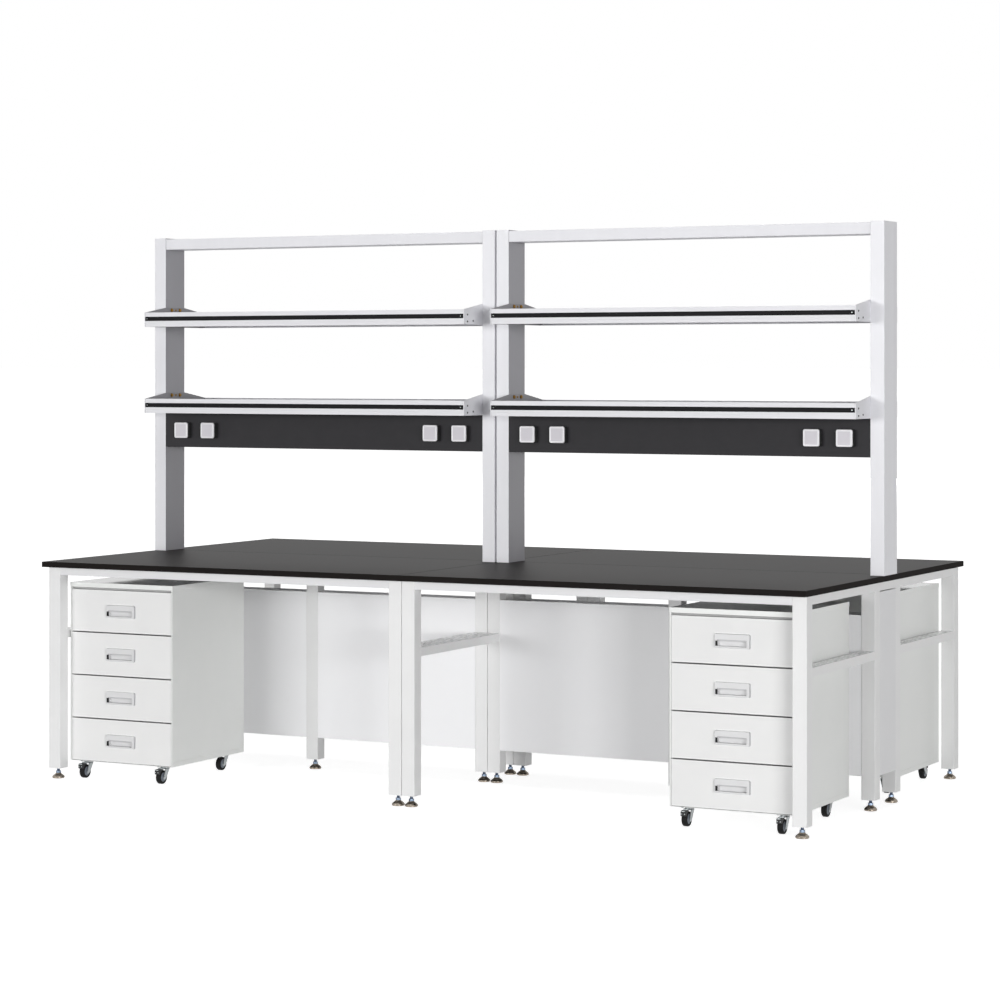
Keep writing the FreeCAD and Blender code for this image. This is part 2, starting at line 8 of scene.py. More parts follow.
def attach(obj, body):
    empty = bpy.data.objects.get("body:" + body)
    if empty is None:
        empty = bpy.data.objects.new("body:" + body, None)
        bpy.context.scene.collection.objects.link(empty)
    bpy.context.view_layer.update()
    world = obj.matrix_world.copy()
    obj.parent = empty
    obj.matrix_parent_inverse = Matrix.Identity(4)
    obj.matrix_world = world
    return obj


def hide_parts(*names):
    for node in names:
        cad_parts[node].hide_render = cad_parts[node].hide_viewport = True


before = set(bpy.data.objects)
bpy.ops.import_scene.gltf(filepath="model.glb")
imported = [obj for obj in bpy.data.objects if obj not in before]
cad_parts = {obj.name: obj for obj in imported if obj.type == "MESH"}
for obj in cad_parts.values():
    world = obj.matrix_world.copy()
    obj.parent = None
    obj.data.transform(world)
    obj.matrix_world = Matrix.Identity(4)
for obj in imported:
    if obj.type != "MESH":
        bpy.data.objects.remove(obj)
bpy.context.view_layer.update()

# Double-sided laboratory bench with reagent rack, dressed for looks.
# Sizes in this script are millimetres; MM turns them into scene metres.
MM = 0.001

# ----------------------- sizes of the whole bench
frame_front_y = 770.0
frame_back_y = 80.0
leg_size = 50.0
frame_columns = (1.0, 1440.0)
middle_leg_x = 720.5
worktop_seam = 0.5

module_centre = 752.0
shelf_bottoms = (1339.0, 1671.0)
bracket_inner_faces = (57.0, 1447.0)
bracket_outer_faces = (54.0, 1450.0)
rail_face_y = 210.0
groove_rise = 30.5
channel_face_y = 65.0

front_plane_y = 712.0
drawer_zone_bottom = 67.0
drawer_pitch = 158.5
drawer_front_height = 153.5
drawer_count = 4
# Middle of each pedestal, and the side of the bench that it opens to.
pedestals = {"front_left_pedestal": (-1209.0, -1),
             "front_right_pedestal": (1209.0, -1),
             "rear_right_pedestal": (1209.0, 1)}

# How far a cutting block reaches past the piece that it cuts.
past = 5.0
# A place this close to another is the same place.
near = 0.05
# How much of a direction lies along an axis.
squarely, mostly, loosely, partly, barely = 0.99, 0.9, 0.7, 0.6, 0.1


# -------------------------------------- materials
# Sockets of a Mix node, for two colours and for two numbers.
colour_a, colour_b, colour_out = 6, 7, 2
number_a, number_b, number_out = 2, 3, 0
# Roughness wanders by this much either way across the grain.
gloss_spread = 0.08


def linear(code):
    """sRGB hex code as a linear RGBA colour."""
    parts = [int(code[i:i + 2], 16) / 255 for i in (1, 3, 5)]
    return tuple(c / 12.92 if c <= 0.04045 else ((c + 0.055) / 1.055) ** 2.4
                 for c in parts) + (1.0,)


def add_node(tree, kind, settings=None, values=None, links=None):
    """One shader node with its settings, socket values and incoming links."""
    made = tree.nodes.new(kind)
    for key, value in (settings or {}).items():
        setattr(made, key, value)
    for key, value in (values or {}).items():
        made.inputs[key].default_value = value
    for key, source in (links or {}).items():
        tree.links.new(source, made.inputs[key])
    return made


def new_material(name):
    material = bpy.data.materials.new(name)
    material.use_nodes = True
    material.node_tree.nodes.clear()
    return material, material.node_tree


def painted_inner_shade(tree, place, colour, tone, reach_mm):
    """Painted shade: a darker colour on faces across X within a distance of a module's
    middle.
    """
    normal = add_node(tree, "ShaderNodeNewGeometry").outputs["Normal"]
    square = add_node(tree, "ShaderNodeSeparateXYZ", links={0: normal}).outputs["X"]
    for operation, number in (("ABSOLUTE", 0.0), ("GREATER_THAN", mostly)):
        square = add_node(tree, "ShaderNodeMath", {"operation": operation},
                          {1: number}, {0: square}).outputs[0]
    close = add_node(tree, "ShaderNodeSeparateXYZ", links={0: place}).outputs["X"]
    for operation, number in (("ABSOLUTE", 0.0), ("SUBTRACT", module_centre * MM),
                              ("ABSOLUTE", 0.0), ("LESS_THAN", reach_mm * MM)):
        close = add_node(tree, "ShaderNodeMath", {"operation": operation},
                         {1: number}, {0: close}).outputs[0]
    inside = add_node(tree, "ShaderNodeMath", {"operation": "MULTIPLY"},
                      links={0: square, 1: close}).outputs[0]
    return add_node(tree, "ShaderNodeMix", {"data_type": "RGBA"},
                    {colour_b: linear(tone)},
                    {0: inside, colour_a: colour}).outputs[colour_out]


def painted_edge_highlight(tree, colour, tone, width_mm):
    """Painted highlight: a lighter colour where a front rounds over into its upper
    edge.
    """
    flat = add_node(tree, "ShaderNodeNewGeometry").outputs["Normal"]
    rounded = add_node(tree, "ShaderNodeBevel", {"samples": 6},
                       {"Radius": width_mm * MM}).outputs["Normal"]
    rise = add_node(tree, "ShaderNodeVectorMath", {"operation": "SUBTRACT"},
                    links={0: rounded, 1: flat}).outputs["Vector"]
    up = add_node(tree, "ShaderNodeSeparateXYZ", links={0: rise}).outputs["Z"]
    edge = add_node(tree, "ShaderNodeMapRange",
                    values={"From Min": 0.1, "From Max": 0.4},
                    links={"Value": up}).outputs["Result"]
    return add_node(tree, "ShaderNodeMix", {"data_type": "RGBA"},
                    {colour_b: linear(tone)},
                    {0: edge, colour_a: colour}).outputs[colour_out]


def upward_gloss(tree, gloss, roughness):
    """Another roughness on the faces that look up."""
    normal = add_node(tree, "ShaderNodeNewGeometry").outputs["True Normal"]
    up = add_node(tree, "ShaderNodeSeparateXYZ", links={0: normal}).outputs["Z"]
    top = add_node(tree, "ShaderNodeMath", {"operation": "GREATER_THAN"},
                   {1: mostly}, {0: up}).outputs[0]
    return add_node(tree, "ShaderNodeMix", {"data_type": "FLOAT"},
                    {number_b: roughness},
                    {0: top, number_a: gloss}).outputs[number_out]


def surface(name, dark, light, patch_mm, roughness, grain_mm, bump_mm,
            metallic=0.0, ease_mm=0.8, stretch=(1, 1, 1), specular=0.5,
            inner_shade_tone=None, inner_shade_mm=0.0, edge_highlight_tone=None, edge_highlight_mm=0.0,
            top_roughness=None):
    """Two close colours in soft patches, a fine grain and slightly eased edges; when
    asked, painted shade on inner faces and a painted highlight on upper edges.
    """
    material, tree = new_material(name)
    place = add_node(tree, "ShaderNodeTexCoord").outputs["Object"]
    turned = add_node(tree, "ShaderNodeMapping", values={"Scale": stretch},
                      links={"Vector": place}).outputs["Vector"]
    patches = add_node(tree, "ShaderNodeTexNoise",
                       values={"Scale": 1 / (patch_mm * MM), "Detail": 3.0},
                       links={"Vector": turned}).outputs["Fac"]
    colour = add_node(tree, "ShaderNodeMix", {"data_type": "RGBA"},
                      {colour_a: linear(dark), colour_b: linear(light)},
                      {0: patches}).outputs[colour_out]
    # Painted shade on the inner faces, when asked.
    if inner_shade_tone:
        colour = painted_inner_shade(tree, place, colour, inner_shade_tone, inner_shade_mm)
    # Painted highlight on the upper edges, when asked.
    if edge_highlight_tone:
        colour = painted_edge_highlight(tree, colour, edge_highlight_tone, edge_highlight_mm)
    grain = add_node(tree, "ShaderNodeTexNoise",
                     values={"Scale": 1 / (grain_mm * MM), "Detail": 2.0},
                     links={"Vector": turned}).outputs["Fac"]
    gloss = add_node(tree, "ShaderNodeMapRange",
                     values={"To Min": roughness - gloss_spread,
                             "To Max": roughness + gloss_spread},
                     links={"Value": grain}).outputs["Result"]
    if top_roughness:
        gloss = upward_gloss(tree, gloss, top_roughness)
    eased = add_node(tree, "ShaderNodeBevel", {"samples": 4},
                     {"Radius": ease_mm * MM}).outputs["Normal"]
    bump = add_node(tree, "ShaderNodeBump",
                    values={"Strength": 0.6, "Distance": bump_mm * MM},
                    links={"Height": grain, "Normal": eased}).outputs["Normal"]
    shader = add_node(tree, "ShaderNodeBsdfPrincipled",
                      values={"Metallic": metallic, "Specular IOR Level": specular},
                      links={"Base Color": colour, "Roughness": gloss,
                             "Normal": bump}).outputs["BSDF"]
    add_node(tree, "ShaderNodeOutputMaterial", links={"Surface": shader})
    return material


# Solid phenolic slab with a matt pressed face: near black, dusty under light.
worktop_phenolic = surface("black_phenolic_matt", "#1A1817", "#242120", patch_mm=14.0,
                           roughness=0.8, grain_mm=2.2, bump_mm=0.01, ease_mm=1.0,
                           stretch=(0.06, 1, 1), specular=0.05, top_roughness=0.47)
# Epoxy powder coat on steel tube: clean white, faint orange peel.
frame_powder = surface("white_epoxy_powder_coat", "#E8E8E8", "#EEEEEE", patch_mm=90.0,
                       roughness=0.42, grain_mm=2.0, bump_mm=0.03, ease_mm=1.5)
# The same coat on the crossbars, where it has run smooth and glossy on top.
bar_powder = surface("smooth_epoxy_powder_coat", "#E8E8E8", "#EEEEEE", patch_mm=90.0,
                     roughness=0.42, grain_mm=2.0, bump_mm=0.006, ease_mm=1.0,
                     top_roughness=0.16)
# The same coat on folded sheet: a shade greyer and flatter; on the long rails this
# greyer tone is painted shade from the worktop's overhang.
greyer_powder_and_rail_shade = surface("grey_white_powder_coat_and_painted_rail_shade", "#E6E6E8", "#EBEBEC", patch_mm=160.0,
                       roughness=0.5, grain_mm=2.0, bump_mm=0.03)
# A lighter copy of the same coat on the wide panels behind the knee spaces, painted
# light against the shade there, with a glossy fold on top.
lightened_knee_panel_powder = surface("white_powder_coat_painted_lighter", "#F7F7F9", "#FBFBFC",
                       patch_mm=160.0, roughness=0.5, grain_mm=2.0, bump_mm=0.03,
                       top_roughness=0.1)
# Pedestal carcass coat: pale grey with a trace of green, smooth and fairly glossy.
carcass_powder = surface("pale_grey_powder_coat", "#E7E9E7", "#EDEEEC", patch_mm=140.0,
                         roughness=0.32, grain_mm=2.0, bump_mm=0.006, ease_mm=1.2,
                         top_roughness=0.06)
# Strip behind the slot under the cap: a flat mid grey, painted shade of that slot.
slot_shade_grey = surface("grey_painted_slot_shade", "#A4A4A4", "#ACACAC", patch_mm=40.0,
                       roughness=0.55, grain_mm=2.0, bump_mm=0.02, ease_mm=0.6)
# Drawer fronts: off-white coat, even and soft, with a near-white highlight painted
# where they round over into their upper edges.
drawer_powder = surface("off_white_powder_coat_with_painted_edge_highlight", "#E7E7E7", "#ECECEB", patch_mm=120.0,
                        roughness=0.46, grain_mm=2.0, bump_mm=0.03, ease_mm=0.3,
                        edge_highlight_tone="#FDFDFD", edge_highlight_mm=6.0)
# Coated aluminium header rails: cool white with faint upright lines.
rack_coat = surface("cool_white_coated_aluminium", "#E3E3E7", "#EAEAEE", patch_mm=40.0,
                    roughness=0.5, grain_mm=3.0, bump_mm=0.02, ease_mm=1.2,
                    stretch=(1, 1, 0.05))
# The same on the posts, with lines along them: their inner sides, towards a module's
# middle, are painted a mid grey as shade.
post_coat = surface("coated_post_with_painted_inner_shade", "#E2E2E6", "#EAEAEE",
                    patch_mm=40.0, roughness=0.38, grain_mm=3.0, bump_mm=0.02,
                    ease_mm=1.2, stretch=(1, 1, 0.05), inner_shade_tone="#98979C",
                    inner_shade_mm=720.0)
# The same on the shelf plates, whose inner sides get a still darker painted shade.
bracket_coat = surface("coated_plate_with_painted_inner_shade", "#E2E2E6", "#EAEAEE",
                       patch_mm=40.0, roughness=0.38, grain_mm=3.0, bump_mm=0.02,
                       ease_mm=0.8, inner_shade_tone="#88878B", inner_shade_mm=696.5)
# Anodised shelf rails and decks: cool white, drawn along their length.
rail_anodised = surface("white_anodised_aluminium", "#E3E3E7", "#EAEAED", patch_mm=30.0,
                        roughness=0.5, grain_mm=2.0, bump_mm=0.02, ease_mm=0.8,
                        stretch=(0.04, 1, 1))
# Soft black strip in the rail groove: deep black, hardly shining.
insert_vinyl = surface("black_vinyl_strip", "#060608", "#0C0C0F", patch_mm=20.0,
                       roughness=0.5, grain_mm=1.0, bump_mm=0.02, stretch=(0.1, 1, 1),
                       specular=0.1)
# Yellow-passivated fasteners: dull brass colour, slightly uneven.
yellow_passivated = surface("yellow_passivated_steel", "#7A5A22", "#A07B36",
                            patch_mm=3.0, roughness=0.36, grain_mm=0.8, bump_mm=0.01,
                            metallic=1.0, ease_mm=0.3)
# Socket channel: charcoal fine-texture coat.
channel_coat = surface("charcoal_texture_coat", "#262528", "#2C2B2E", patch_mm=60.0,
                       roughness=0.55, grain_mm=1.4, bump_mm=0.05, ease_mm=1.0,
                       specular=0.2)
# Moulded white covers: soft satin.
cover_plastic = surface("white_moulded_polycarbonate", "#E9E8EB", "#F0EFF2",
                        patch_mm=30.0, roughness=0.3, grain_mm=1.5, bump_mm=0.008,
                        ease_mm=0.6)
# The same moulding where it is sunk inside the rim: a shade greyer and matt.
lid_plastic = surface("grey_white_moulded_polycarbonate", "#D2CFD5", "#D8D5DB",
                      patch_mm=30.0, roughness=0.45, grain_mm=1.5, bump_mm=0.008,
                      ease_mm=0.6)
# Socket housings: dark smoke plastic.
housing_plastic = surface("smoke_black_moulded_plastic", "#252626", "#2D2E2D",
                          patch_mm=15.0, roughness=0.35, grain_mm=1.0, bump_mm=0.01,
                          ease_mm=0.6)
# Turned and plated feet: warm grey metal with fine turning marks.
foot_plate = surface("nickel_plated_steel", "#5A5248", "#B4AA9E", patch_mm=9.0,
                     roughness=0.22, grain_mm=0.9, bump_mm=0.01, metallic=1.0,
                     ease_mm=0.4, stretch=(1, 1, 0.6))
# Blue-passivated lock nut: cool grey with a blue cast.
nut_zinc = surface("blue_passivated_nut", "#647285", "#8794A5", patch_mm=6.0,
                   roughness=0.34, grain_mm=0.8, bump_mm=0.01, metallic=1.0,
                   ease_mm=0.4)
# The same passivation on the threaded stud: a shade darker.
stud_zinc = surface("blue_passivated_stud", "#5C6980", "#8794A8", patch_mm=5.0,
                    roughness=0.42, grain_mm=0.8, bump_mm=0.01, metallic=1.0,
                    ease_mm=0.2)
# Bright zinc on pressed steel: cool grey with cloudy patches.
zinc_plate = surface("bright_zinc_plated_steel", "#8A8E90", "#B4B8B9", patch_mm=7.0,
                     roughness=0.32, grain_mm=1.0, bump_mm=0.01, metallic=1.0,
                     ease_mm=0.4)
# Caster tread: black rubber, dull, a little scuffed.
tread_rubber = surface("black_tread_rubber", "#060607", "#101011", patch_mm=5.0,
                       roughness=0.6, grain_mm=1.2, bump_mm=0.05, ease_mm=0.5,
                       specular=0.16)
# Wheel centre: mid grey moulded nylon.
hub_nylon = surface("grey_moulded_nylon", "#626872", "#787E88", patch_mm=8.0,
                    roughness=0.4, grain_mm=1.0, bump_mm=0.01, ease_mm=0.4)
# Brake shoe: black moulded nylon; the same black at the end of a pull's cup is painted
# shade.
black_nylon_and_pull_shade = surface("black_nylon_and_painted_pull_shade", "#0D0E10", "#161719", patch_mm=6.0,
                      roughness=0.45, grain_mm=0.8, bump_mm=0.02, ease_mm=0.5,
                      specular=0.3)
# Drawer pulls: pale grey ABS, satin.
pull_abs = surface("pale_grey_moulded_abs", "#D8D8D9", "#DEDEDF", patch_mm=20.0,
                   roughness=0.34, grain_mm=1.0, bump_mm=0.01, ease_mm=0.5)
# The same moulding in a mid grey, painted shade on its end faces and in its fine
# groove.
pull_painted_shade = surface("mid_grey_painted_pull_shade", "#B2B2B5", "#BBBBBE", patch_mm=20.0,
                    roughness=0.45, grain_mm=1.0, bump_mm=0.01, ease_mm=0.3)
# Small blackened screws: dark, with a metal shine.
black_screw = surface("black_zinc_screw", "#2A2A2B", "#3A3A3B", patch_mm=2.0,
                      roughness=0.4, grain_mm=0.5, bump_mm=0.01, metallic=1.0,
                      ease_mm=0.2)


# -------------------------------------- modelling
def settle(name):
    """Name the new primitive and put its place into its mesh."""
    obj = bpy.context.object
    obj.name = name
    obj.data.name = name
    bpy.ops.object.transform_apply(location=True, rotation=True, scale=True)
    return obj


def start_block(name, low, high):
    """Box primitive between two corners."""
    bpy.ops.object.select_all(action="DESELECT")
    middle = [(a + b) / 2 * MM for a, b in zip(low, high)]
    sides = [(b - a) * MM for a, b in zip(low, high)]
    bpy.ops.mesh.primitive_cube_add(size=1, location=middle, scale=sides)
    return settle(name)


def start_round(name, centre, radius, length, axis, sides):
    """Cylinder primitive about a centre, along one axis."""
    bpy.ops.object.select_all(action="DESELECT")
    turn = {"X": (0, math.pi / 2, 0), "Y": (math.pi / 2, 0, 0), "Z": (0, 0, 0)}[axis]
    bpy.ops.mesh.primitive_cylinder_add(
        vertices=sides, radius=radius * MM, depth=length * MM,
        location=[c * MM for c in centre], rotation=turn)
    return settle(name)


def start_disc(name, radius, low, high, sides):
    """Short cylinder along X between two places."""
    return start_round(name, ((low + high) / 2, 0, 0), radius, high - low, "X", sides)


def use(obj):
    bpy.ops.object.select_all(action="DESELECT")
    obj.select_set(True)
    bpy.context.view_layer.objects.active = obj


def faces(normal, way, share=mostly):
    """Whether a normal points along a signed axis, such as -Y."""
    along = normal["XYZ".index(way[1])]
    return (along if way[0] == "+" else -along) > share


def runs(direction, axis, share=mostly):
    """Whether a direction lies along an axis, either way."""
    return abs(direction["XYZ".index(axis)]) > share


def pick_faces(obj, wanted):
    """Edit mode with the faces selected whose centre (mm) and normal suit."""
    use(obj)
    bpy.ops.object.mode_set(mode="EDIT")
    bpy.ops.mesh.select_mode(type="FACE")
    bpy.ops.mesh.select_all(action="DESELECT")
    mesh = bmesh.from_edit_mesh(obj.data)
    mesh.normal_update()
    for face in mesh.faces:
        face.select_set(bool(wanted(face.calc_center_median() / MM, face.normal)))
    bmesh.update_edit_mesh(obj.data)


def pick_edges(obj, wanted):
    """Edit mode with the edges selected whose middle (mm) and direction suit."""
    use(obj)
    bpy.ops.object.mode_set(mode="EDIT")
    bpy.ops.mesh.select_mode(type="EDGE")
    bpy.ops.mesh.select_all(action="DESELECT")
    mesh = bmesh.from_edit_mesh(obj.data)
    for edge in mesh.edges:
        a, b = (v.co / MM for v in edge.verts)
        edge.select_set(bool(wanted((a + b) / 2, (b - a).normalized())))
    bmesh.update_edit_mesh(obj.data)


def object_mode():
    bpy.ops.object.mode_set(mode="OBJECT")


def bevel_edges(obj, wanted, width, segments):
    pick_edges(obj, wanted)
    bpy.ops.mesh.bevel(offset=width * MM, segments=segments, affect="EDGES")
    object_mode()


def inset_faces(obj, wanted, width, height):
    """Inset the chosen faces and push them out (or in, when negative)."""
    pick_faces(obj, wanted)
    bpy.ops.mesh.inset(thickness=width * MM, depth=height * MM, use_even_offset=True)
    object_mode()


def apply_modifier(obj, kind, **settings):
    use(obj)
    modifier = obj.modifiers.new("step", kind)
    for key, value in settings.items():
        setattr(modifier, key, value)
    bpy.ops.object.modifier_apply(modifier=modifier.name)


def cut(obj, tool):
    apply_modifier(obj, "BOOLEAN", operation="DIFFERENCE", object=tool, solver="EXACT")
    bpy.data.objects.remove(tool)


def weld(obj, tool):
    apply_modifier(obj, "BOOLEAN", operation="UNION", object=tool, solver="EXACT")
    bpy.data.objects.remove(tool)


def smooth(obj, angle=35.0):
    """Shade smooth over every edge that turns less than an angle."""
    use(obj)
    bpy.ops.object.shade_smooth_by_angle(angle=math.radians(angle))


def ease(obj, width, segments=2):
    """Round every remaining sharp edge a little and shade the piece smooth."""
    apply_modifier(obj, "BEVEL", width=width * MM, segments=segments,
                   limit_method="ANGLE", angle_limit=math.radians(30))
    smooth(obj)


def paint(obj, material, wanted=None):
    """Give the piece, or only the chosen faces of it, a material."""
    obj.data.materials.append(material)
    if wanted is None:
        return
    pick_faces(obj, wanted)
    obj.active_material_index = len(obj.data.materials) - 1
    bpy.ops.object.material_slot_assign()
    object_mode()


def copy_of(obj, name, place=(0, 0, 0), half_turn=False):
    """Copy with its own mesh, turned about Z first when asked, then moved."""
    twin = obj.copy()
    twin.data = obj.data.copy()
    twin.name = name
    twin.data.name = name
    bpy.context.scene.collection.objects.link(twin)
    turn = Matrix.Rotation(math.pi, 4, "Z") if half_turn else Matrix.Identity(4)
    twin.data.transform(Matrix.Translation(Vector(place) * MM) @ turn)
    return twin


def join(name, parts):
    bpy.ops.object.select_all(action="DESELECT")
    for part in parts:
        part.select_set(True)
    bpy.context.view_layer.objects.active = parts[0]
    bpy.ops.object.join()
    parts[0].name = name
    parts[0].data.name = name
    return parts[0]


def set_of(name, template, places):
    """One object made of copies of the template at (place, half_turn) pairs."""
    copies = [copy_of(template, "%s_%d" % (name, i), place, half)
              for i, (place, half) in enumerate(places)]
    bpy.data.objects.remove(template)
    return join(name, copies)


def fit_piece(obj, body, slot, *stands_for):
    """Finish a piece's normals, put it on its body and hide the nodes it stands for;
    the slot argument is not used.
    """
    apply_modifier(obj, "WEIGHTED_NORMAL", keep_sharp=True, weight=80)
    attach(obj, body)
    if stands_for:
        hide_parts(*stands_for)


# ------------------------------------ under-frame
bar_length = 590.0
bar_height = 30.0
bar_wall = 2.0
mid_bar_bottom = 517.0
top_bar_bottom = 750.0
slot_length = 34.0
slot_width = 6.0
slot_pitch = 55.0
slots_in_row = 10
slot_rows = (9.0, 41.0)

# Radius and height of each ring of the bell-shaped pad.
pad_profile = ((21.6, 0.8), (23.0, 2.6), (23.0, 4.6), (22.2, 6.6), (20.4, 9.0),
               (17.6, 11.6), (14.2, 14.0), (11.4, 15.8), (10.2, 17.2), (10.0, 18.6))
pad_sides = 40
nut_radius = 9.4
nut_bottom = 18.4
nut_top = 27.0
stud_radius = 5.9
stud_start = 17.5
stud_sides = 24
thread_depth = 0.7
thread_step = 1.04
thread_count = 20


def crossbar_template(length, slotted=False):
    """Bar along Y, open below and at its ends, with two rows of slots when asked."""
    bar = start_block("crossbar", (0, 0, 0), (leg_size, length, bar_height))
    cut(bar, start_block("channel", (bar_wall, -past, -past),
                         (leg_size - bar_wall, length + past, bar_height - bar_wall)))
    if slotted:
        first = length / 2 - (slots_in_row - 1) * slot_pitch / 2
        slot = start_block("slot", (-slot_width / 2, -slot_length / 2, -past),
                           (slot_width / 2, slot_length / 2, past))
        bevel_edges(slot, lambda m, d: runs(d, "Z"),
                    width=slot_width / 2 - 0.1, segments=4)
        places = [((x, first + i * slot_pitch, bar_height), False)
                  for x in slot_rows for i in range(slots_in_row)]
        cut(bar, set_of("slots", slot, places))
    ease(bar, 0.5)
    return bar


def make_crossbars():
    places = {mid_bar_bottom: [], top_bar_bottom: []}
    outer_y = frame_front_y - leg_size
    for z, spots in places.items():
        for x in frame_columns:
            for low_x in (x, -x - leg_size):
                spots.append(((low_x, -outer_y, z), False))
                spots.append(((low_x, outer_y - bar_length, z), False))
    slotted = set_of("slotted_bars", crossbar_template(bar_length, True),
                     places[mid_bar_bottom])
    plain = set_of("plain_bars", crossbar_template(bar_length), places[top_bar_bottom])
    outer_x = frame_columns[-1]
    ends = [((x, y, top_bar_bottom), False) for x in (outer_x, -outer_x - leg_size)
            for y in (-frame_back_y, worktop_seam / 2)]
    short = set_of("short_bars", crossbar_template(frame_back_y - worktop_seam / 2),
                   ends)
    bars = join("perforated_crossbars", [slotted, plain, short])
    bars.data.materials.clear()
    paint(bars, bar_powder)
    fit_piece(bars, "bench", "frame_steel", "frame_crossbars")


def turned(name, profile, sides, bottom=0.0):
    """Round piece on Z through (radius, height) points, grown ring by ring."""
    radius, top = profile[0]
    piece = start_round(name, (0, 0, (bottom + top) / 2), radius, top - bottom, "Z",
                        sides)
    for wider, higher in profile[1:]:
        pick_faces(piece, lambda c, n, z=top: faces(n, "+Z") and abs(c.z - z) < near)
        bpy.ops.mesh.extrude_region_move(
            TRANSFORM_OT_translate={"value": (0, 0, (higher - top) * MM)})
        scale = wider / radius
        bpy.ops.transform.resize(value=(scale, scale, 1),
                                 center_override=(0, 0, higher * MM))
        object_mode()
        radius, top = wider, higher
    return piece


def make_feet():
    pad = turned("pad", pad_profile, pad_sides)
    smooth(pad, 40)
    paint(pad, foot_plate)
    threads = [(stud_radius - (thread_depth if i % 2 else 0.0),
                stud_start + (i + 1) * thread_step) for i in range(thread_count)]
    stud = turned("stud", threads, stud_sides, stud_start)
    smooth(stud)
    paint(stud, stud_zinc)
    nut = start_round("nut", (0, 0, (nut_bottom + nut_top) / 2), nut_radius,
                      nut_top - nut_bottom, "Z", sides=6)
    bevel_edges(nut, lambda m, d: not runs(d, "Z", barely), width=0.9, segments=2)
    ease(nut, 0.4)
    paint(nut, nut_zinc)
    foot = join("foot", [pad, stud, nut])
    places = []
    for x in frame_columns:
        for y in (frame_front_y - leg_size / 2, frame_back_y + leg_size / 2):
            for sx in (1, -1):
                for sy in (1, -1):
                    places.append(((sx * (x + leg_size / 2), sy * y, 0), False))
    for sx in (1, -1):
        places.append(((sx * (middle_leg_x + leg_size / 2),
                        -frame_back_y - leg_size / 2, 0), False))
    feet = set_of("turned_levelling_feet", foot, places)
    fit_piece(feet, "bench", "foot_steel", "levelling_feet")


# ------------------------------------------- rack
bolt_rise = 67.0
bolt_side = 28.0
washer_radius = 7.6
washer_top = 1.2
bolt_head_radius = 6.3
bolt_head = (1.0, 5.0)
pin_radius = 3.8
pin_top = 2.4

# Distance from the middle of the shelf and height over its underside.
plate_screws = ((183.0, 36.0), (183.0, 11.0), (139.0, 14.0))
plate_screw_radius = 3.4
plate_screw_top = 1.6

strip_half_length = 695.0
strip_half_height = 6.0
strip_back = 2.9
strip_overlap = 0.2
strip_lap = 2.2
strip_front = -0.8
rail_end_inset = 10.0
end_cap_radius = 8.6
end_cap_front = -2.3
end_cap_back = -0.7
end_cap_well = 0.6
end_cap_button = 0.5


def make_bracket_fasteners():
    head = start_disc("head", bolt_head_radius, *bolt_head, sides=6)
    bevel_edges(head, lambda m, d: m.x > bolt_head[1] - near, width=0.7, segments=2)
    washer = start_disc("washer", washer_radius, 0.0, washer_top, sides=28)
    bevel_edges(washer, lambda m, d: m.x > washer_top - near, width=0.4, segments=2)
    bolt = join("bolt", [head, washer])
    pin = start_disc("pin", pin_radius, 0.0, pin_top, sides=20)
    bevel_edges(pin, lambda m, d: m.x > pin_top - near, width=1.0, segments=3)
    inset_faces(pin, lambda c, n: faces(n, "+X"), width=1.2, height=-0.8)
    group = join("group", [copy_of(bolt, "b1", (0, -bolt_side, 0)),
                           copy_of(bolt, "b2", (0, bolt_side, 0)), pin])
    bpy.data.objects.remove(bolt)
    ease(group, 0.2, 1)
    paint(group, yellow_passivated)
    places = []
    for z0 in shelf_bottoms:
        z = z0 + bolt_rise
        inner, outer = bracket_inner_faces
        places += [((inner, 0, z), False), ((outer, 0, z), True),
                   ((-inner, 0, z), True), ((-outer, 0, z), False)]
    bolts = set_of("bracket_fasteners", group, places)
    fit_piece(bolts, "bench", "brass_bolts", "bracket_bolts")


def make_plate_screws():
    screw = start_disc("screw", plate_screw_radius, 0.0, plate_screw_top, sides=18)
    bevel_edges(screw, lambda m, d: m.x > plate_screw_top - near, width=0.9, segments=3)
    inset_faces(screw, lambda c, n: faces(n, "+X"), width=1.2, height=-0.7)
    smooth(screw)
    paint(screw, black_screw)
    places = []
    for z0 in shelf_bottoms:
        for y, rise in plate_screws:
            for sy in (-1, 1):
                inner, outer = bracket_outer_faces
                places += [((-inner, sy * y, z0 + rise), False),
                           ((inner, sy * y, z0 + rise), True),
                           ((outer, sy * y, z0 + rise), False),
                           ((-outer, sy * y, z0 + rise), True)]
    fit_piece(set_of("shelf_plate_screws", screw, places), "bench", "black_insert")


def make_edge_strips():
    """Vinyl strip: a body in the groove and a lip that laps over its two edges."""
    half = strip_half_length
    body = start_block("strip", (-half, -strip_overlap, -strip_half_height),
                       (half, strip_back, strip_half_height))
    lap = strip_half_height + strip_lap
    lip = start_block("lip", (-half, strip_front, -lap), (half, 0.0, lap))
    bevel_edges(lip, lambda m, d: runs(d, "X") and m.y < strip_front + near,
                width=0.7, segments=3)
    inset_faces(lip, lambda c, n: faces(n, "-Y", squarely), width=3.4, height=-0.3)
    weld(body, lip)
    smooth(body)
    paint(body, insert_vinyl)
    places = []
    for z0 in shelf_bottoms:
        for side in (-1, 1):
            for facing in (-1, 1):
                places.append(((side * module_centre, facing * rail_face_y,
                                z0 + groove_rise), facing > 0))
    strips = set_of("vinyl_edge_strips", body, places)
    fit_piece(strips, "bench", "black_insert", "edge_rail_inserts")


